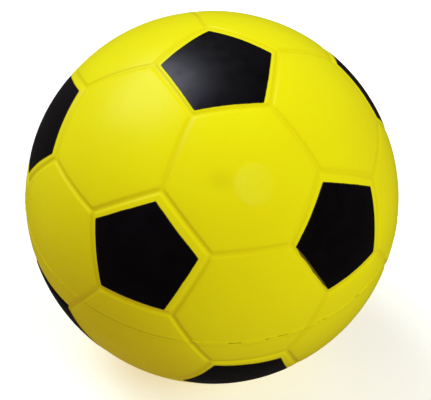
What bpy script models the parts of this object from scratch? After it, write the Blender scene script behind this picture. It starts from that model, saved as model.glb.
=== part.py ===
"""A foam stress ball moulded as a football.

A soft core fills a thin skin that was moulded in two halves. The halves meet at a parting seam round the
equator, grooves in the skin draw the 32 panels of a football, and a pentagon is printed on 12 of them.
The origin is the ball's centre, and +Z is the way the mould opens, through the centre of a pentagon.
"""

import math

import bmesh
import bpy
from mathutils import Matrix, Vector

# Driving dimensions, in metres.
BALL_RADIUS = 0.0350
SKIN_THICKNESS = 0.0016
GROOVE_DEPTH = 0.0004
GROOVE_HALF_WIDTH = 0.00045
PRINT_MARGIN = 0.0013  # from the middle of the groove to the edge of the print
PRINT_THICKNESS = 0.0003
SEAM_HEIGHT = 0.0005
SEAM_PROUD = 0.00015
GAP = 0.0003  # between pieces that touch on the real ball

# The football pattern. Each panel edge joins two of its 60 corners.
PANEL_SIDES = {"pentagon": 5, "hexagon": 6}
CORNER_CUT = 100 / 3  # percent of an icosahedron's edge that each cut corner takes
EDGE_CUTS = 2  # points added along each panel edge, so that it bends round the ball
PATTERN_SPIN = math.radians(18)
RING_TILT = math.atan(2)  # from one pentagon's centre to the next
RING_STEP = math.radians(72)
HALF_SIDE_TURN = math.radians(36)  # half of the turn from one corner of a pentagon to the next
EDGE_LENGTH = 1 / math.sqrt((29 + 9 * math.sqrt(5)) / 8)  # of the pattern inside a ball of radius 1
PENTAGON_RADIUS = EDGE_LENGTH / (2 * math.sin(HALF_SIDE_TURN))
PENTAGON_APOTHEM = EDGE_LENGTH / (2 * math.tan(HALF_SIDE_TURN))
HEXAGON_APOTHEM = EDGE_LENGTH * math.sqrt(3) / 2

POCKET_DEPTH = PRINT_THICKNESS + GAP
POCKET_DRAFT = 0.00005  # how far the pocket's wall leans in over its depth
CAVITY_RADIUS = BALL_RADIUS - SKIN_THICKNESS
CORE_RADIUS = CAVITY_RADIUS - GAP
SKIN_EDGE_HEIGHT = SEAM_HEIGHT / 2 + GAP  # where each half of the skin stops, above or below the equator
HEXAGON_RINGS = 2  # rings of faces between a hexagon's groove and its middle
SPHERE_SUBDIVISIONS = 4
SEAM_STEPS = 72
SEAM_ARC_STEPS = 4
MERGE_DISTANCE = 0.00001

COLORS = {
    "foam": (0.86, 0.78, 0.45, 1.0),
    "skin": (0.80, 0.74, 0.01, 1.0),
    "seam": (0.72, 0.62, 0.01, 1.0),
    "ink": (0.012, 0.012, 0.014, 1.0),
}
ROUGHNESS = {"foam": 0.9, "skin": 0.42, "seam": 0.5, "ink": 0.35}


def new_collection(name):
    """A collection of that name in the scene."""
    collection = bpy.data.collections.new(name)
    bpy.context.scene.collection.children.link(collection)
    return collection


def new_material(name):
    """A Principled material in the colour and roughness of that kind of piece."""
    material = bpy.data.materials.new(name)
    material.use_nodes = True
    shader = material.node_tree.nodes["Principled BSDF"]
    shader.inputs["Base Color"].default_value = COLORS[name]
    shader.inputs["Roughness"].default_value = ROUGHNESS[name]
    shader.inputs["Metallic"].default_value = 0.0
    material.diffuse_color = COLORS[name]
    return material


def add_piece(name, mesh, material, collection, parent=None):
    """A named object for one piece, shaded smooth."""
    if material.name not in mesh.materials:
        mesh.materials.append(material)
    mesh.shade_smooth()
    piece = bpy.data.objects.new(name, mesh)
    collection.objects.link(piece)
    piece.parent = parent
    return piece


def mesh_from(bm, name):
    """The finished mesh of a bmesh."""
    bmesh.ops.recalc_face_normals(bm, faces=bm.faces)
    mesh = bpy.data.meshes.new(name)
    bm.to_mesh(mesh)
    bm.free()
    return mesh


def set_depth(faces, layer, depth):
    """Marks how far under the ball's surface the corners of these faces lie."""
    for face in faces:
        for vert in face.verts:
            vert[layer] = depth


def inset(bm, faces, distance):
    """Shrinks each face by that distance, with a ring of new faces round it."""
    bmesh.ops.inset_individual(bm, faces=faces, thickness=distance, use_even_offset=True)


def football_panels():
    """A truncated icosahedron of radius 1 with a pentagon facing +Z, and its pentagons and hexagons."""
    bm = bmesh.new()
    bmesh.ops.create_icosphere(bm, subdivisions=1, radius=1.0, matrix=Matrix.Rotation(PATTERN_SPIN, 4, "Z"))
    bmesh.ops.bevel(
        bm, geom=bm.verts[:], offset=CORNER_CUT, offset_type="PERCENT", segments=1, affect="VERTICES"
    )
    for vert in bm.verts:
        vert.co.normalize()
    pentagons = [face for face in bm.faces if len(face.verts) == PANEL_SIDES["pentagon"]]
    hexagons = [face for face in bm.faces if len(face.verts) == PANEL_SIDES["hexagon"]]
    for edge in bm.edges[:]:
        split_evenly(edge, EDGE_CUTS)
    return bm, pentagons, hexagons


def split_evenly(edge, cuts):
    """Adds evenly spaced points along an edge."""
    for left in range(cuts, 0, -1):
        edge, _ = bmesh.utils.edge_split(edge, edge.verts[0], left / (left + 1))


def football_surface():
    """The ball's closed outer surface, with a groove round each panel and a pocket for each print."""
    bm, pentagons, hexagons = football_panels()
    depth = bm.verts.layers.float.new("depth")
    set_depth(bm.faces, depth, GROOVE_DEPTH)
    inset(bm, pentagons + hexagons, GROOVE_HALF_WIDTH / BALL_RADIUS)
    set_depth(pentagons + hexagons, depth, 0.0)

    ring_width = (HEXAGON_APOTHEM - GROOVE_HALF_WIDTH / BALL_RADIUS) / (HEXAGON_RINGS + 1)
    for _ in range(HEXAGON_RINGS):
        inset(bm, hexagons, ring_width)
        set_depth(hexagons, depth, 0.0)

    pocket_edge = PRINT_MARGIN - GAP
    inset(bm, pentagons, (pocket_edge - GROOVE_HALF_WIDTH) / BALL_RADIUS)
    set_depth(pentagons, depth, 0.0)
    inset(bm, pentagons, POCKET_DRAFT / BALL_RADIUS)
    set_depth(pentagons, depth, POCKET_DEPTH)
    inset(bm, pentagons, (PENTAGON_APOTHEM - (pocket_edge + POCKET_DRAFT) / BALL_RADIUS) / 2)
    set_depth(pentagons, depth, POCKET_DEPTH)

    for centre in bmesh.ops.poke(bm, faces=pentagons)["verts"]:
        centre[depth] = POCKET_DEPTH
    for centre in bmesh.ops.poke(bm, faces=hexagons)["verts"]:
        centre[depth] = 0.0
    for vert in bm.verts:
        vert.co = vert.co.normalized() * (BALL_RADIUS - vert[depth])
    return bm


def skin_half(side):
    """One closed half of the ball's outer surface: side is 1 for the half above the seam and -1 below."""
    bm = football_surface()
    cut = bmesh.ops.bisect_plane(
        bm,
        geom=bm.verts[:] + bm.edges[:] + bm.faces[:],
        plane_co=(0, 0, side * SKIN_EDGE_HEIGHT),
        plane_no=(0, 0, side),
        clear_inner=True,
    )
    rim = [element for element in cut["geom_cut"] if isinstance(element, bmesh.types.BMEdge)]
    bmesh.ops.edgeloop_fill(bm, edges=rim)
    return mesh_from(bm, "skin_upper" if side > 0 else "skin_lower")


def print_patch():
    """The open outer face of one print: a pentagon on the ball facing +Z, one corner towards -X."""
    bm = bmesh.new()
    apothem = PENTAGON_APOTHEM - PRINT_MARGIN / BALL_RADIUS
    raised = Matrix.Translation((0, 0, math.sqrt(1 - PENTAGON_RADIUS**2)))
    bmesh.ops.create_circle(
        bm,
        cap_ends=True,
        radius=apothem / math.cos(HALF_SIDE_TURN),
        segments=PANEL_SIDES["pentagon"],
        matrix=raised @ Matrix.Rotation(math.pi / 2, 4, "Z"),
    )
    for edge in bm.edges[:]:
        split_evenly(edge, EDGE_CUTS)
    inset(bm, bm.faces[:], apothem / 2)
    bmesh.ops.poke(bm, faces=[max(bm.faces, key=lambda face: len(face.verts))])
    for vert in bm.verts:
        vert.co = vert.co.normalized() * BALL_RADIUS
    return mesh_from(bm, "print_patch")


def print_turns():
    """The rotation that takes a print facing +Z to each pentagon of the upper half, by name."""
    turns = {"pole": Matrix.Rotation(-PATTERN_SPIN, 4, "Z")}
    for step in range(PANEL_SIDES["pentagon"]):
        round_axis = Matrix.Rotation(PATTERN_SPIN + step * RING_STEP, 4, "Z")
        turns[str(step + 1)] = round_axis @ Matrix.Rotation(RING_TILT, 4, "Y")
    return turns


def seam_profile():
    """The seam's closed section in the XZ plane, as an edge loop: a flat band with a rounded bead outside."""
    half = SEAM_HEIGHT / 2
    points = [(CAVITY_RADIUS, half)]
    for step in range(SEAM_ARC_STEPS + 1):
        angle = math.pi / 2 - math.pi * step / SEAM_ARC_STEPS
        points.append((BALL_RADIUS + SEAM_PROUD * math.cos(angle), half * math.sin(angle)))
    points.append((CAVITY_RADIUS, -half))
    mesh = bpy.data.meshes.new("parting_seam")
    edges = [(index, (index + 1) % len(points)) for index in range(len(points))]
    mesh.from_pydata([Vector((x, 0, z)) for x, z in points], edges, [])
    return mesh


def sphere_object(name, radius):
    """A round solid of that radius about the origin."""
    bpy.ops.mesh.primitive_ico_sphere_add(subdivisions=SPHERE_SUBDIVISIONS, radius=radius)
    sphere = bpy.context.active_object
    sphere.name = name
    for collection in sphere.users_collection:
        collection.objects.unlink(sphere)
    return sphere


def build():
    for leftover in list(bpy.data.objects):
        bpy.data.objects.remove(leftover)
    ball = new_collection("stress_ball")
    cutters = new_collection("cutters")
    foam, skin, seam, ink = (new_material(name) for name in ("foam", "skin", "seam", "ink"))

    squeeze_axis = bpy.data.objects.new("squeeze_axis", None)
    ball.objects.link(squeeze_axis)

    cavity = sphere_object("skin_cavity", CAVITY_RADIUS)
    cavity.hide_render = True
    cavity.display_type = "WIRE"
    cutters.objects.link(cavity)

    core = sphere_object("foam_core", CORE_RADIUS)
    core.data.materials.append(foam)
    core.data.shade_smooth()
    ball.objects.link(core)

    for side in (1, -1):
        mesh = skin_half(side)
        parent = squeeze_axis if side > 0 else None
        half = add_piece(mesh.name, mesh, skin, ball, parent)
        hollow = half.modifiers.new("hollow", "BOOLEAN")
        hollow.operation = "DIFFERENCE"
        hollow.solver = "EXACT"
        hollow.object = cavity

    bead = add_piece("parting_seam", seam_profile(), seam, ball)
    turned = bead.modifiers.new("turned", "SCREW")
    turned.steps = SEAM_STEPS
    turned.render_steps = SEAM_STEPS
    turned.use_merge_vertices = True
    turned.merge_threshold = MERGE_DISTANCE

    patch = print_patch()
    turn_over = Matrix.Rotation(math.pi, 4, "X")
    for label, turn in print_turns().items():
        for half, parent, flip in (("upper", squeeze_axis, Matrix()), ("lower", None, turn_over)):
            mark = add_piece(f"print_{half}_{label}", patch, ink, ball, parent)
            mark.matrix_local = flip @ turn
            layer = mark.modifiers.new("layer", "SOLIDIFY")
            layer.thickness = PRINT_THICKNESS
            layer.offset = -1


build()
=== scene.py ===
"""A foam stress ball moulded as a football, in a plain studio.

The ball's centre is the origin, +Z is the way its mould opened, and lengths are in metres unless a
name says otherwise. Azimuths turn from +X towards +Y.
"""

import math

import bmesh
import bpy
import numpy as np
from mathutils import Matrix, Vector


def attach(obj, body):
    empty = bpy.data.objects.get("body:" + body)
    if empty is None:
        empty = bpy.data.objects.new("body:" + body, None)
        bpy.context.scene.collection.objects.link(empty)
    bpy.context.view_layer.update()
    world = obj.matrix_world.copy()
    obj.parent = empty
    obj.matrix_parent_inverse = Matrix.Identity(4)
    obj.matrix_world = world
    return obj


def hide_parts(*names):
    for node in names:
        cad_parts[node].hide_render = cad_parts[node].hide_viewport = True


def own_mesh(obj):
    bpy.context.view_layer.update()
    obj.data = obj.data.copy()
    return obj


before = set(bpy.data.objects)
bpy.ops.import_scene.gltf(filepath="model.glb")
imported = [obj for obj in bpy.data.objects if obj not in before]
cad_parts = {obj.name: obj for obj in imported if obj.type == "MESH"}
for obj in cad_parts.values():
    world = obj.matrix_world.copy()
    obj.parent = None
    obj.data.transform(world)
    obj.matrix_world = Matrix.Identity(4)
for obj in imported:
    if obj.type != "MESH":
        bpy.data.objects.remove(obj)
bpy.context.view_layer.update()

MM = 0.001
BALL_RADIUS = 35.0 * MM
CAVITY_RADIUS = 33.4 * MM
CORE_RADIUS = 33.0 * MM

# The moulded pattern: grooves round 12 pentagons and 20 hexagons, with slightly pillowed panels.
PATTERN_SPIN = 18.0
RING_LATITUDE = math.degrees(math.atan(0.5))
NEIGHBOURS_ABOVE = 0.4  # the dot product of neighbouring pentagons' directions is 0.447
GROOVE_DEPTH = 0.22 * MM
GROOVE_SPREAD = 0.42 * MM
GROOVE_FLOOR = 1.2 * GROOVE_SPREAD
# How far the painted shade in the grooves reaches from their middles.
GROOVE_SHADE_SPREAD = 1.3 * GROOVE_SPREAD
PILLOW_DROP = 0.10 * MM
PILLOW_REACH = 1.8 * MM
SIDE_STEPS = 22
GROOVE_RINGS = [
    d * MM for d in (0, 0.1, 0.2, 0.3, 0.4, 0.5, 0.6, 0.72, 0.86, 1.02, 1.22, 1.46, 1.76, 2.1)
]
PANEL_RING_STEP = 0.5 * MM
MIDDLE_RING = 0.6 * MM
WAVES = 14
WAVE_HEIGHT = 0.006 * MM
WAVE_LENGTHS = (9 * MM, 24 * MM)
INNER_ROWS = 9
SHARP_ANGLE = 60

# A shallow hollow with painted shade and a pale scuffed disc in the front hexagon, from the mould's
# filling point. Each place is an azimuth and a latitude in degrees.
HOLLOW = {"at": (-100.6, 51.2), "radius": 2.8 * MM, "depth": 0.16 * MM, "grime": 0.07}
SCUFF = {
    "at": (-85.4, 50.6),
    "radius": 3.6 * MM,
    "edge": 0.5 * MM,
    "step": 0.05 * MM,
    "fades_to": (-70.0, 48.0),
    "faded_below": 0.15,
}

# The parting seam, a ribbon that lies over the edges of the two halves. Places along it, and the fades
# at their ends, are degrees of azimuth.
SKIN_EDGE = 0.18 * MM
SEAM_ROWS = [
    z * MM
    for z in (-0.75, -0.62, -0.5, -0.4, -0.32, -0.24, -0.16, -0.09)
    + (-0.03, 0.03, 0.09, 0.16, 0.24, 0.32, 0.42, 0.54)
]
SEAM_STEPS = 2400
SEAM_LIFT = 0.012 * MM
SEAM_THICKNESS = 0.9 * MM
RIDGE_HEIGHT = 0.075 * MM
RIDGE_SPREAD = 0.10 * MM
FLASH_USUAL = 0.75  # shares of the ridge's height
FLASH_RIPPLE = 0.45
FLASH_SWELL = 0.3
FLASH_RANGE = (0.05, 1.6)
CREASE_DEPTH = 0.05 * MM
CREASE_HEIGHT = -0.30 * MM
CREASE_SPREAD = 0.09 * MM
NICK_DEPTH = 0.22 * MM
NICK_SPREAD = 0.19 * MM
NICK_FADE = 0.35
# How strongly the nicks are painted dark as shade.
NICK_SHADE = 1.6
NICKS = (
    (-97.0, -93.3),
    (-86.1, -84.9),
    (-82.3, -79.1),
    (-69.2, -68.3),
    (-67.4, -65.8),
    (-54.2, -52.3),
)
SHUT_LINE = (-146.0, -110.0)  # where the halves closed with a crease painted dark as shade, and no ridge
SHUT_LINE_FADE = 4.0
# How strongly the crease there is painted dark as shade.
SHUT_LINE_SHADE = 0.28
SHUT_LINE_DIP = 1.6  # how far the ridge sinks there, as a share of its height
CRUMBS = (  # azimuth, latitude and how far across
    (-143.0, 1.7, 0.55 * MM),
    (-108.6, 0.75, 0.42 * MM),
    (-107.1, 0.66, 0.50 * MM),
)
CRUMB_SHAPE = (0.75, 0.3, 0.2)  # along the seam, across it and outward, as shares of that
CRUMB_LUMPS = 0.1  # how uneven a crumb is, as a share of its size, and how fine that is
CRUMB_LUMP_TURN = 2.6

# The printed pentagons. Their corners stand this many degrees from their middles.
INK_CORNER = 17.6
INK_ROUNDING = 160
INK_STEPS = 250
INK_RINGS = [
    d * MM
    for d in (0, 0.04, 0.1, 0.18, 0.28, 0.4, 0.55, 0.75, 1.0, 1.3)
    + (1.7, 2.2, 2.8, 3.5, 4.3, 5.2, 6.2, 7.3, 8.3)
]
INK_LIFT = 0.045 * MM
INK_SUNK = 0.05 * MM
INK_WOBBLE = 0.022 * MM
INK_BLEEDS = {"print_upper_5": 288}  # where ink ran out past a side: the side's turn from the print's X
BLEED_REACH = 0.26 * MM
BLEED_HALF_WIDTH = 33
BLEED_FADE = 8
BLEED_USUAL = 0.9  # shares of the reach
BLEED_RIPPLE = 0.12
MASK_TURN = {"upper": (0.84, -0.32, -0.83), "lower": (0.51, 2.82, 0.60)}  # degrees about X, Y and Z

# The foam core, pitted all over by cut cells.
PIT_DEPTH = 0.12 * MM
PIT_SPACING = 2.4 * MM
PIT_LAYERS = 3
PIT_WAVES = 8
PIT_PHASES = 6.28
PIT_STEEPNESS = 0.25


def unit(v):
    """Vectors scaled to length 1."""
    v = np.asarray(v, float)
    return v / np.linalg.norm(v, axis=-1, keepdims=True)


def compass(azimuth, latitude):
    """Unit vectors at those azimuths and latitudes in degrees."""
    a, e = np.radians(azimuth), np.radians(latitude)
    return np.stack([np.cos(e) * np.cos(a), np.cos(e) * np.sin(a), np.sin(e) + 0 * a], -1)


def pentagon_centres():
    """The 12 directions of an icosahedron's corners, the first of them +Z."""
    turns = 72.0 * np.arange(5)
    upper = compass(PATTERN_SPIN + turns, RING_LATITUDE)
    return np.vstack([[(0, 0, 1)], upper, -upper, [(0, 0, -1)]])


def football():
    """The panels, as rings of corner directions turning outward, and the 90 edges between corners."""
    centres = pentagon_centres()
    near = (centres @ centres.T > NEIGHBOURS_ABOVE) & ~np.eye(12, dtype=bool)
    panels, edges = [], []
    for a in range(12):
        around = np.flatnonzero(near[a])
        side = unit(centres[around[0]] - centres[a] * (centres[around[0]] @ centres[a]))
        across = np.cross(centres[a], side)
        order = sorted(around, key=lambda b: math.atan2(centres[b] @ across, centres[b] @ side))
        panels.append(unit([2 * centres[a] + centres[b] for b in order]))
    for a in range(12):
        for b in range(a + 1, 12):
            if near[a, b]:
                edges.append(unit([2 * centres[a] + centres[b], 2 * centres[b] + centres[a]]))
            for c in range(b + 1, 12):
                if near[a, b] and near[b, c] and near[a, c]:
                    ring = (a, b, c) if np.linalg.det(centres[[a, b, c]]) > 0 else (a, c, b)
                    corners = []
                    for i, j in zip(ring, ring[1:] + ring[:1]):
                        corners += [2 * centres[i] + centres[j], 2 * centres[j] + centres[i]]
                    panels.append(unit(corners))
    for panel in panels[:12]:
        edges += [np.array([p, q]) for p, q in zip(panel, np.roll(panel, -1, 0))]
    return panels, np.array(edges)


PANELS, EDGES = football()


def groove_distance(directions):
    """How far each point of the ball lies from the middle of the nearest groove."""
    start, end = EDGES[:, 0], EDGES[:, 1]
    normal = unit(np.cross(start, end))
    nearest = np.full(len(directions), np.pi)
    for s, e, n in zip(start, end, normal):
        off = directions @ n
        inside = (np.cross(n, s) @ directions.T > 0) & (np.cross(e, n) @ directions.T > 0)
        to_arc = np.where(inside, np.abs(np.arcsin(np.clip(off, -1, 1))), np.pi)
        to_ends = np.arccos(np.clip(np.maximum(directions @ s, directions @ e), -1, 1))
        nearest = np.minimum(nearest, np.minimum(to_arc, to_ends))
    return nearest * BALL_RADIUS


rng = np.random.default_rng(7)
WAVE_VECTORS = unit(rng.normal(size=(WAVES, 3))) * (
    2 * np.pi * BALL_RADIUS / rng.uniform(*WAVE_LENGTHS, size=(WAVES, 1))
)
WAVE_PHASES = rng.uniform(0, 2 * np.pi, WAVES)


def arc_distance(directions, at):
    """How far each point of the ball lies from the point at that azimuth and latitude."""
    return np.arccos(np.clip(directions @ compass(*at), -1, 1)) * BALL_RADIUS


def bell(x, spread):
    """A smooth bump of height 1."""
    return np.exp(-0.5 * (x / spread) ** 2)


def groove_share(distance):
    """How deep a groove is at that distance from its middle: 1 on its flat floor and 0 on the panels."""
    return np.exp(-((distance / GROOVE_FLOOR) ** 3))


def relief(directions):
    """How far the moulded surface stands above or below a true ball."""
    d = groove_distance(directions)
    height = -GROOVE_DEPTH * groove_share(d) - PILLOW_DROP * np.exp(-d / PILLOW_REACH)
    height += WAVE_HEIGHT * np.cos(directions @ WAVE_VECTORS.T + WAVE_PHASES).sum(1) / math.sqrt(WAVES)
    height += SCUFF["step"] * scuff_share(directions)
    return height - HOLLOW["depth"] * bell(arc_distance(directions, HOLLOW["at"]), HOLLOW["radius"] / 2)


def mesh_of(name, points, faces, sharp=None, **fields):
    """A smooth-shaded mesh with its faces turned outward, and a float for each point in each field."""
    mesh = bpy.data.meshes.new(name)
    mesh.from_pydata(np.asarray(points).tolist(), [], faces)
    bm = bmesh.new()
    bm.from_mesh(mesh)
    bmesh.ops.recalc_face_normals(bm, faces=bm.faces)
    bm.to_mesh(mesh)
    bm.free()
    mesh.shade_smooth()
    if sharp:
        mesh.set_sharp_from_angle(angle=math.radians(sharp))
    for field, values in fields.items():
        attribute = mesh.attributes.new(field, "FLOAT", "POINT")
        attribute.data.foreach_set("value", np.asarray(values, np.float32))
    return mesh


def ring_faces(rows, steps, closed=False):
    """Quads between rows of points that each run round a loop."""
    pairs = [(k, k + 1) for k in range(rows - 1)] + ([(rows - 1, 0)] if closed else [])
    return [
        (a * steps + m, a * steps + (m + 1) % steps, b * steps + (m + 1) % steps, b * steps + m)
        for a, b in pairs
        for m in range(steps)
    ]


def loop_grid(outline, centre, shares):
    """Points and faces that fill an outline with rings, each a share of its size, and a middle."""
    rings = [centre + share * (outline - centre) for share in shares]
    steps = len(outline)
    last = (len(rings) - 1) * steps
    faces = ring_faces(len(rings), steps)
    faces += [(last + m, last + (m + 1) % steps, len(rings) * steps) for m in range(steps)]
    return np.vstack(rings + [centre[None]]), faces


def panel_grid(corners):
    """Points and faces of one panel, in rings that run beside its grooves."""
    centre = corners.mean(0)
    apothem = np.linalg.norm((corners[0] + corners[1]) / 2 - centre) * BALL_RADIUS
    along = (np.arange(SIDE_STEPS) / SIDE_STEPS)[:, None]
    outline = np.vstack([p + along * (q - p) for p, q in zip(corners, np.roll(corners, -1, 0))])
    wide = list(np.arange(GROOVE_RINGS[-1] + PANEL_RING_STEP, apothem - MIDDLE_RING, PANEL_RING_STEP))
    points, faces = loop_grid(outline, centre, [1 - d / apothem for d in GROOVE_RINGS + wide])
    return unit(points), faces


def smooth_ball():
    """A bmesh of the whole ball at radius 1, its faces lined up with the grooves."""
    points, faces = [], []
    for corners in PANELS:
        grid, filled = panel_grid(corners)
        start = sum(len(p) for p in points)
        faces += [[start + i for i in face] for face in filled]
        points.append(grid)
    mesh = bpy.data.meshes.new("smooth_ball")
    mesh.from_pydata(np.vstack(points).tolist(), [], faces)
    bm = bmesh.new()
    bm.from_mesh(mesh)
    bmesh.ops.remove_doubles(bm, verts=bm.verts, dist=1e-6)
    bpy.data.meshes.remove(mesh)
    return bm


def skin_half(name, side):
    """One half of the skin as a closed shell: side is 1 above the seam and -1 below."""
    bm = smooth_ball()
    edge = side * SKIN_EDGE / BALL_RADIUS
    cut = bmesh.ops.bisect_plane(
        bm,
        geom=bm.verts[:] + bm.edges[:] + bm.faces[:],
        dist=1e-7,
        plane_co=(0, 0, edge),
        plane_no=(0, 0, side),
        clear_inner=True,
    )
    bm.verts.index_update()
    rim = [v.index for v in cut["geom_cut"] if isinstance(v, bmesh.types.BMVert)]
    directions = unit([v.co for v in bm.verts])
    faces = [[v.index for v in face.verts] for face in bm.faces]
    bm.free()

    azimuth = np.arctan2(directions[rim, 1], directions[rim, 0])
    order = np.argsort(azimuth)
    rim, azimuth = np.array(rim)[order], np.degrees(azimuth[order])
    steps, outer = len(rim), len(directions)
    latitudes = side * np.linspace(math.degrees(SKIN_EDGE / CAVITY_RADIUS), 90, INNER_ROWS + 1)[:-1]
    inner = [compass(azimuth, np.full(steps, latitude)) for latitude in latitudes]
    inner = np.vstack(inner + [[(0, 0, side)]])
    faces += [
        (rim[m], rim[(m + 1) % steps], outer + (m + 1) % steps, outer + m) for m in range(steps)
    ]
    faces += [[outer + i for i in face] for face in ring_faces(INNER_ROWS, steps)]
    last = outer + (INNER_ROWS - 1) * steps
    faces += [(last + m, last + (m + 1) % steps, outer + INNER_ROWS * steps) for m in range(steps)]

    moulded = directions * (BALL_RADIUS + relief(directions))[:, None]
    # Painted shade: the hollow darkened towards dark brown.
    hollow_shade = HOLLOW["grime"] * bell(arc_distance(directions, HOLLOW["at"]), HOLLOW["radius"] / 2)
    blank = np.zeros(len(inner))
    # The groove field carries the painted shade in the grooves.
    return mesh_of(
        name,
        np.vstack([moulded, inner * CAVITY_RADIUS]),
        [[int(i) for i in face] for face in faces],
        sharp=SHARP_ANGLE,
        scuff=np.r_[scuff_share(directions), blank],
        groove=np.r_[bell(groove_distance(directions), GROOVE_SHADE_SPREAD), blank],
        grime=np.r_[hollow_shade, blank],
    )


def scuff_share(directions):
    """1 in the pale disc, with a soft edge that fades out on one side."""
    inside = (SCUFF["radius"] - arc_distance(directions, SCUFF["at"])) / SCUFF["edge"] + 0.5
    fade = arc_distance(directions, SCUFF["fades_to"]) / (2 * SCUFF["radius"])
    return np.clip(inside, 0, 1) * np.clip(fade - SCUFF["faded_below"], 0, 1)


def nick_share(azimuth):
    """1 inside the nicks in the seam and 0 outside them, with soft ends."""
    share = np.zeros(len(azimuth))
    for low, high in NICKS:
        middle, half = (low + high) / 2, (high - low) / 2
        off = np.abs((azimuth - middle + 180) % 360 - 180)
        share = np.maximum(share, np.clip((half - off) / NICK_FADE + 0.5, 0, 1))
    return share


def shut_share(azimuth):
    """1 along the part of the seam that is a crease painted dark as shade, with ends that fade over a few
    degrees.
    """
    low, high = SHUT_LINE
    return np.clip(np.minimum(azimuth - low, high - azimuth) / SHUT_LINE_FADE, 0, 1)


def wander(azimuth, seed, waves=9, shortest=1.2):
    """A smooth random line round the ball between about -1 and 1, with waves down to that many degrees."""
    dice = np.random.default_rng(seed)
    turns = np.round(360 / dice.uniform(shortest, 12 * shortest, waves))
    phases = dice.uniform(0, 2 * np.pi, waves)
    return np.cos(np.radians(azimuth)[:, None] * turns + phases).sum(1) / math.sqrt(waves)


def seam_mesh(name):
    """The seam's ribbon round the equator, closed by a band inside the skin, and the crumbs of flash."""
    azimuth = np.arange(SEAM_STEPS) * 360 / SEAM_STEPS - 180
    ripple = FLASH_RIPPLE * wander(azimuth, 11)
    swell = FLASH_SWELL * wander(azimuth, 12, shortest=6)
    flash = np.clip(FLASH_USUAL + ripple + swell, *FLASH_RANGE)
    shut = shut_share(azimuth)
    nick = nick_share(azimuth)
    rows, grime, groove = [], [], []
    for z in SEAM_ROWS:
        directions = compass(azimuth, np.full(SEAM_STEPS, math.degrees(z / BALL_RADIUS)))
        ridge = RIDGE_HEIGHT * flash * (1 - SHUT_LINE_DIP * shut) * bell(z, RIDGE_SPREAD)
        crease = CREASE_DEPTH * (1 - nick) * bell(z - CREASE_HEIGHT, CREASE_SPREAD)
        gouge = bell(z - CREASE_HEIGHT, NICK_SPREAD) * nick
        height = relief(directions) + SEAM_LIFT + ridge - crease - NICK_DEPTH * gouge
        rows.append(directions * (BALL_RADIUS + height)[:, None])
        # Painted shade: the nicks and the shut line's crease darkened towards dark brown.
        grime.append(np.clip(NICK_SHADE * gouge + SHUT_LINE_SHADE * shut * bell(z, RIDGE_SPREAD), 0, 1))
        groove.append(bell(groove_distance(directions), GROOVE_SHADE_SPREAD))
    for z in (SEAM_ROWS[-1], SEAM_ROWS[0]):
        inner = compass(azimuth, np.full(SEAM_STEPS, math.degrees(z / BALL_RADIUS)))
        rows.append(inner * (BALL_RADIUS - SEAM_THICKNESS))
        grime.append(np.zeros(SEAM_STEPS))
        groove.append(np.zeros(SEAM_STEPS))
    points = np.vstack(rows)
    faces = ring_faces(len(rows), SEAM_STEPS, closed=True)
    grime, groove = np.concatenate(grime), np.concatenate(groove)
    for index, (az, lat, across) in enumerate(CRUMBS):
        lump, lump_faces = crumb(az, lat, across, index)
        faces += [tuple(len(points) + i for i in face) for face in lump_faces]
        points = np.vstack([points, lump])
        grime, groove = np.r_[grime, np.zeros(len(lump))], np.r_[groove, np.zeros(len(lump))]
    return mesh_of(name, points, faces, grime=grime, groove=groove, scuff=np.zeros(len(points)))


def crumb(azimuth, latitude, across, seed):
    """Points and faces of a lump of flash that sits in the surface, longer along the seam."""
    bm = bmesh.new()
    bmesh.ops.create_icosphere(bm, subdivisions=3, radius=1.0)
    points = np.array([v.co for v in bm.verts])
    faces = [tuple(v.index for v in face.verts) for face in bm.faces]
    bm.free()
    dice = np.random.default_rng(100 + seed)
    lumps = np.cos(points @ dice.normal(size=(3, 5)) * CRUMB_LUMP_TURN).sum(1)
    points *= 1 + CRUMB_LUMPS * lumps[:, None]
    out = compass(azimuth, latitude)
    east = unit(np.cross((0, 0, 1), out))
    north = np.cross(out, east)
    along, over, high = CRUMB_SHAPE
    shaped = points @ np.array([east * across * along, north * across * over, out * across * high])
    return out * (BALL_RADIUS + relief(out[None])[0]) + shaped, faces


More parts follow.
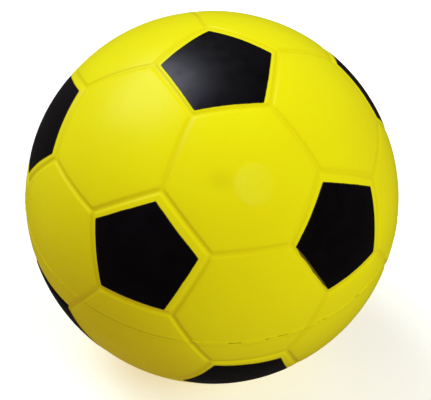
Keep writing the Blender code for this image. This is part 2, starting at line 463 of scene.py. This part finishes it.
def ink_mesh(name, place, mask_turn, bleed_side, seed):
    """A printed pentagon as a thin closed film on the skin: place turns it there from facing +Z."""
    corner = math.radians(INK_CORNER)
    apothem = math.sin(corner) * math.cos(math.radians(36))
    angles = np.arange(INK_STEPS) * 360 / INK_STEPS
    sides = np.cos(np.radians(angles[:, None] - (180 + 36 + 72 * np.arange(5))))
    reach = apothem * (np.clip(sides, 0, None) ** INK_ROUNDING).sum(1) ** (-1 / INK_ROUNDING)
    reach += INK_WOBBLE / BALL_RADIUS * wander(angles, seed, waves=12, shortest=5)
    bleed = np.zeros(INK_STEPS)
    if bleed_side is not None:
        off = (angles - bleed_side + 180) % 360 - 180
        ragged = BLEED_USUAL + BLEED_RIPPLE * wander(angles, 90 + seed, shortest=4)
        bleed = np.clip((BLEED_HALF_WIDTH - np.abs(off)) / BLEED_FADE, 0, 1) * ragged
    reach += BLEED_REACH / BALL_RADIUS * bleed
    turns = np.radians(angles)
    centre = np.array([0, 0, math.cos(corner)])
    outline = centre + np.stack([reach * np.cos(turns), reach * np.sin(turns), 0 * turns], 1)
    shares = [1 - d / (apothem * BALL_RADIUS) for d in INK_RINGS]
    grid, faces = loop_grid(outline, centre, shares)
    slip = np.array(Matrix.Rotation(math.radians(np.linalg.norm(mask_turn)), 3, Vector(mask_turn)))
    directions = unit(grid) @ (slip @ place).T
    depth = np.append(np.repeat(INK_RINGS, INK_STEPS), apothem * BALL_RADIUS)
    surface = BALL_RADIUS + relief(directions)
    lift = INK_LIFT * np.clip(depth / INK_RINGS[2], 0, 1)
    top = directions * (surface + lift)[:, None]
    bottom = directions * (surface - INK_SUNK)[:, None]
    count = len(grid)
    faces += [tuple(count + i for i in reversed(face)) for face in faces]
    faces += [
        (m, (m + 1) % INK_STEPS, count + (m + 1) % INK_STEPS, count + m) for m in range(INK_STEPS)
    ]
    thin = np.append(np.tile(bleed, len(INK_RINGS)), 0) * BLEED_REACH
    return mesh_of(name, np.vstack([top, bottom]), faces, rim=np.tile((depth - thin) / MM, 2))


def core_mesh(name):
    """The foam core: a ball with the shallow pits of cut cells all over it."""
    bm = bmesh.new()
    bmesh.ops.create_icosphere(bm, subdivisions=6, radius=1.0)
    directions = unit([v.co for v in bm.verts])
    faces = [tuple(v.index for v in face.verts) for face in bm.faces]
    bm.free()
    dice = np.random.default_rng(3)
    pits = np.zeros(len(directions))
    for _ in range(PIT_LAYERS):
        turn = unit(dice.normal(size=(PIT_WAVES, 3))) * (2 * np.pi * BALL_RADIUS / PIT_SPACING)
        phases = dice.uniform(0, PIT_PHASES, PIT_WAVES)
        pits += np.abs(np.cos(directions @ turn.T + phases)).prod(1) ** PIT_STEEPNESS
    return mesh_of(name, directions * (CORE_RADIUS - PIT_DEPTH * pits)[:, None], faces)


def new_material(name):
    """An empty material with its node tree, output and Principled shader."""
    material = bpy.data.materials.new(name)
    material.use_nodes = True
    return material, material.node_tree, material.node_tree.nodes["Principled BSDF"]


def add(tree, kind, inputs=None, **settings):
    """A node with those settings. Each input is a value, or a socket to link."""
    made = tree.nodes.new(kind)
    for name, value in settings.items():
        setattr(made, name, value)
    for name, value in (inputs or {}).items():
        if isinstance(value, bpy.types.NodeSocket):
            tree.links.new(value, made.inputs[name])
        else:
            made.inputs[name].default_value = value
    return made


def noise(tree, size, detail=2.0, roughness=0.5):
    """A noise value with features of about that size in metres, in the piece's own space."""
    place = add(tree, "ShaderNodeTexCoord").outputs["Object"]
    made = add(
        tree,
        "ShaderNodeTexNoise",
        {"Vector": place, "Scale": 1 / size, "Detail": detail, "Roughness": roughness},
    )
    return made.outputs["Fac"]


def field(tree, name):
    """The value of one of the mesh's own fields."""
    return add(tree, "ShaderNodeAttribute", attribute_name=name).outputs["Fac"]


def stretch(tree, value, low, high, to_low=0.0, to_high=1.0):
    """Maps a range onto another one, clamped."""
    made = add(
        tree,
        "ShaderNodeMapRange",
        {"Value": value, "From Min": low, "From Max": high, "To Min": to_low, "To Max": to_high},
    )
    return made.outputs["Result"]


def math_node(tree, operation, *values):
    """A Math node on those values or sockets."""
    made = add(tree, "ShaderNodeMath", operation=operation)
    for socket, value in zip(made.inputs, values):
        if isinstance(value, bpy.types.NodeSocket):
            tree.links.new(value, socket)
        else:
            socket.default_value = value
    return made.outputs[0]


def mix(tree, share, a, b):
    """A colour between a and b, each a colour or a socket."""
    made = add(tree, "ShaderNodeMix", data_type="RGBA")
    for socket, value in ((made.inputs[0], share), (made.inputs[6], a), (made.inputs[7], b)):
        if isinstance(value, bpy.types.NodeSocket):
            tree.links.new(value, socket)
        else:
            socket.default_value = value
    return made.outputs[2]


YELLOW = (0.80, 0.725, 0.001, 1)
DEEP_YELLOW = (0.79, 0.675, 0.001, 1)
# Ochre painted shade in the grooves.
OCHRE_SHADE = (0.60, 0.40, 0.002, 1)
PALE_YELLOW = (0.80, 0.73, 0.022, 1)
# Dark brown painted shade in the hollow and in the seam's nicks and crease.
SHADE_BROWN = (0.045, 0.028, 0.008, 1)
INK_BLACK = (0.0010, 0.0010, 0.0013, 1)
INK_WORN = (0.0022, 0.0021, 0.0028, 1)
STAIN = (0.16, 0.12, 0.003, 1)
FOAM_PALE = (0.88, 0.80, 0.46, 1)
# Painted shade in the foam's pores.
FOAM_PORE_SHADE = (0.62, 0.50, 0.20, 1)
SKIN_SPECULAR = 0.12
SKIN_ROUGHNESS = (0.33, 0.39)
INK_SPECULAR = 0.34
INK_SHEEN = (1.0, 0.78, 0.97, 1)
INK_ROUGHNESS = (0.34, 0.42)
FOAM_ROUGHNESS = (0.85, 1.0)
# How strongly the grooves are painted ochre as shade.
GROOVE_SHADE = 0.12
PEEL_HEIGHT = 0.01 * MM
FOAM_CELL = 0.8 * MM


def orange_peel(tree, shader, size):
    """Fine pebbling of about that size in a coat of paint or ink."""
    pebbles = {"Height": noise(tree, size, 3), "Strength": 0.25, "Distance": PEEL_HEIGHT}
    bump = add(tree, "ShaderNodeBump", pebbles)
    tree.links.new(bump.outputs["Normal"], shader.inputs["Normal"])


def skin_material(name):
    """Sprayed satin yellow: faint mottling, ochre painted shade in the grooves, dark painted shade in the
    hollow and the seam's nicks and crease, fine orange peel.
    """
    material, tree, shader = new_material(name)
    clouds = stretch(tree, noise(tree, 14 * MM, 3), 0.35, 0.65, 0, 0.5)
    colour = mix(tree, clouds, YELLOW, DEEP_YELLOW)
    flecks = stretch(tree, noise(tree, 0.9 * MM, 3), 0.45, 0.75, 0, 0.25)
    colour = mix(tree, flecks, colour, DEEP_YELLOW)
    # Painted shade: the grooves darkened towards ochre.
    colour = mix(tree, math_node(tree, "MULTIPLY", field(tree, "groove"), GROOVE_SHADE), colour, OCHRE_SHADE)
    patchy = stretch(tree, noise(tree, 0.8 * MM, 4), 0.35, 0.65, 0.45, 0.95)
    colour = mix(tree, math_node(tree, "MULTIPLY", field(tree, "scuff"), patchy), colour, PALE_YELLOW)
    # Painted shade: the hollow and the seam's nicks and crease darkened towards dark brown.
    colour = mix(tree, field(tree, "grime"), colour, SHADE_BROWN)
    tree.links.new(colour, shader.inputs["Base Color"])
    satin = stretch(tree, noise(tree, 3 * MM, 4), 0.3, 0.7, *SKIN_ROUGHNESS)
    tree.links.new(satin, shader.inputs["Roughness"])
    shader.inputs["Specular IOR Level"].default_value = SKIN_SPECULAR
    orange_peel(tree, shader, 0.35 * MM)
    return material


def ink_material(name):
    """Satin black film: brownish and thin at its edge, with faint wear and dust."""
    material, tree, shader = new_material(name)
    uneven = stretch(tree, noise(tree, 0.5 * MM, 3), 0.3, 0.7, -0.05, 0.05)
    ragged = math_node(tree, "ADD", field(tree, "rim"), uneven)
    worn = stretch(tree, noise(tree, 4 * MM, 4), 0.4, 0.7)
    colour = mix(tree, worn, INK_BLACK, INK_WORN)
    colour = mix(tree, stretch(tree, ragged, 0.02, 0.15), STAIN, colour)
    tree.links.new(colour, shader.inputs["Base Color"])
    satin = stretch(tree, noise(tree, 2.2 * MM, 4), 0.3, 0.7, *INK_ROUGHNESS)
    tree.links.new(satin, shader.inputs["Roughness"])
    shader.inputs["Specular IOR Level"].default_value = INK_SPECULAR
    shader.inputs["Specular Tint"].default_value = INK_SHEEN
    orange_peel(tree, shader, 0.3 * MM)
    return material


def foam_material(name):
    """Open-cell foam: pale cell walls round pores that are painted darker as shade."""
    material, tree, shader = new_material(name)
    place = add(tree, "ShaderNodeTexCoord").outputs["Object"]
    grid = {"Vector": place, "Scale": 1 / FOAM_CELL}
    cells = add(tree, "ShaderNodeTexVoronoi", grid, feature="DISTANCE_TO_EDGE").outputs["Distance"]
    pores = stretch(tree, cells, 0.02, 0.25)
    # Painted shade: the pores darker than the cell walls.
    tree.links.new(mix(tree, pores, FOAM_PALE, FOAM_PORE_SHADE), shader.inputs["Base Color"])
    dull = stretch(tree, noise(tree, 2 * MM), 0.3, 0.7, *FOAM_ROUGHNESS)
    tree.links.new(dull, shader.inputs["Roughness"])
    walls = {"Height": pores, "Strength": 0.8, "Distance": FOAM_CELL / 4}
    bump = add(tree, "ShaderNodeBump", walls, invert=True)
    tree.links.new(bump.outputs["Normal"], shader.inputs["Normal"])
    return material


def show(mesh, material, body, stands_for):
    """Adds a piece that stands for a CAD node, moves with its body and flattens with the squeeze."""
    mesh.materials.append(material)
    piece = bpy.data.objects.new(mesh.name, mesh)
    bpy.context.scene.collection.objects.link(piece)
    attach(piece, body)
    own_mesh(piece)
    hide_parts(stands_for)
    return piece


def print_places():
    """The 3x3 turn that takes a print facing +Z to each pentagon, by node name."""
    turns = {"pole": Matrix.Rotation(math.radians(-PATTERN_SPIN), 3, "Z")}
    for step in range(5):
        about = Matrix.Rotation(math.radians(PATTERN_SPIN + 72 * step), 3, "Z")
        turns[str(step + 1)] = about @ Matrix.Rotation(math.radians(90 - RING_LATITUDE), 3, "Y")
    flip = Matrix.Rotation(math.pi, 3, "X")
    places = {}
    for label, turn in turns.items():
        places["print_upper_" + label] = np.array(turn)
        places["print_lower_" + label] = np.array(flip @ turn)
    return places


def build_ball():
    """The two skin halves, the core, the seam and the twelve prints."""
    skin = skin_material("skin_paint")
    seam = skin_material("seam_paint")
    ink = ink_material("print_ink")
    foam = foam_material("open_cell_foam")
    upper = show(skin_half("football_skin_upper", 1), skin, "upper_half", "skin_upper")
    lower = show(skin_half("football_skin_lower", -1), skin, "lower_half", "skin_lower")
    core = show(core_mesh("foam_filling"), foam, "lower_half", "foam_core")
    show(seam_mesh("seam_flash"), seam, "lower_half", "parting_seam")
    for seed, (node, place) in enumerate(print_places().items()):
        half = "upper" if "upper" in node else "lower"
        film = ink_mesh(
            node.replace("print", "ink"), place, MASK_TURN[half], INK_BLEEDS.get(node), 40 + seed
        )
        show(film, ink, half + "_half", node)


# The studio.
CAMERA_AZIMUTH = -14.48
CAMERA_ELEVATION = 47.63
CAMERA_ROLL = 3.77
CAMERA_DISTANCE = 11 * BALL_RADIUS
CAMERA_LENS_MM = 170.8
SENSOR_WIDTH_MM = 36
AIM_RIGHT = 0.663 * MM
AIM_UP = -0.514 * MM
FLOOR_SIZE = 8
FLOOR_GLOW = 0.25
FLOOR_GLOW_COLOUR = (1, 0.97, 0.93, 1)
PAPER_COLOURS = ((0.92, 0.92, 0.96, 1), (0.94, 0.94, 0.98, 1))
WHITE = (1.0, 1.0, 1.0, 1)
ROOM_COLOUR = (1.0, 0.82, 0.78, 1)
ROOM_LIGHT = 0.51
ROOM_MIRRORED = 0.05  # the room as gloss shows it, so that the ink stays black
BACKDROP = 0.9  # the room as the camera sees it
SOFTBOX_SIZE = 0.35
SOFTBOX_DISTANCE = 0.7


def camera_axes():
    """The camera's right, up and backward directions."""
    a, e, roll = (math.radians(x) for x in (CAMERA_AZIMUTH, CAMERA_ELEVATION, CAMERA_ROLL))
    back = Vector((math.sin(a) * math.cos(e), -math.cos(a) * math.cos(e), math.sin(e)))
    level = Vector((math.cos(a), math.sin(a), 0))
    right = level * math.cos(roll) + back.cross(level) * math.sin(roll)
    return right, back.cross(right), back


def build_camera():
    """A long lens that frames the ball as the photograph does."""
    right, up, back = camera_axes()
    place = back * CAMERA_DISTANCE
    back = (place - right * AIM_RIGHT - up * AIM_UP).normalized()
    right = (right - back * right.dot(back)).normalized()
    up = back.cross(right)
    camera = bpy.data.objects.new("camera", bpy.data.cameras.new("camera"))
    camera.data.lens = CAMERA_LENS_MM
    camera.data.sensor_width = SENSOR_WIDTH_MM
    camera.data.clip_start = 0.01
    camera.data.clip_end = 20
    camera.matrix_world = Matrix.Translation(place) @ Matrix((right, up, back)).transposed().to_4x4()
    bpy.context.scene.collection.objects.link(camera)
    bpy.context.scene.camera = camera


def softbox(name, towards, power, colour, size=SOFTBOX_SIZE, shines=False):
    """A square area light in that direction, facing the ball. Only one that shines shows as a highlight."""
    light = bpy.data.lights.new(name, "AREA")
    light.shape = "SQUARE"
    light.size = size
    light.energy = power
    light.color = colour
    lamp = bpy.data.objects.new(name, light)
    lamp.location = Vector(towards) * SOFTBOX_DISTANCE
    lamp.rotation_euler = Vector(towards).to_track_quat("Z", "Y").to_euler()
    lamp.visible_glossy = shines
    bpy.context.scene.collection.objects.link(lamp)


def build_room():
    """Even warm light from all round, dim as gloss mirrors it and pale where the camera sees it."""
    world = bpy.data.worlds.new("studio")
    world.use_nodes = True
    tree = world.node_tree
    background = tree.nodes["Background"].inputs
    ray = add(tree, "ShaderNodeLightPath").outputs
    tree.links.new(mix(tree, ray["Is Camera Ray"], ROOM_COLOUR, WHITE), background["Color"])
    strength = math_node(
        tree, "MULTIPLY_ADD", ray["Is Glossy Ray"], ROOM_MIRRORED - ROOM_LIGHT, ROOM_LIGHT
    )
    strength = math_node(
        tree, "MULTIPLY_ADD", ray["Is Camera Ray"], BACKDROP - ROOM_LIGHT, strength
    )
    tree.links.new(strength, background["Strength"])
    bpy.context.scene.world = world


def build_lights():
    """A key from behind on the left, a fill on the right, and warm light from under the floor."""
    softbox("key", compass(125, 46), 4.0, (0.79, 1.0, 1.0), size=0.45, shines=True)
    softbox("side", compass(-45, 35), 2.75, (0.80, 1.0, 0.90))
    softbox("under", compass(120, -65), 1.9, (1.0, 0.74, 0.60))


def build_floor():
    """Pale paper that the camera sees, and that neither lights the ball nor shades it."""
    material, tree, shader = new_material("floor_paper")
    paper = mix(tree, noise(tree, 60 * MM), *PAPER_COLOURS)
    tree.links.new(paper, shader.inputs["Base Color"])
    shader.inputs["Roughness"].default_value = 0.9
    shader.inputs["Emission Color"].default_value = FLOOR_GLOW_COLOUR
    shader.inputs["Emission Strength"].default_value = FLOOR_GLOW
    bpy.ops.mesh.primitive_plane_add(size=FLOOR_SIZE, location=(0, 0, -BALL_RADIUS))
    floor = bpy.context.active_object
    floor.name = "floor"
    floor.data.materials.append(material)
    floor.visible_glossy = False
    floor.visible_diffuse = False
    floor.visible_shadow = False


build_ball()
build_room()
build_lights()
build_floor()
build_camera()
bpy.context.scene.view_settings.view_transform = "Standard"
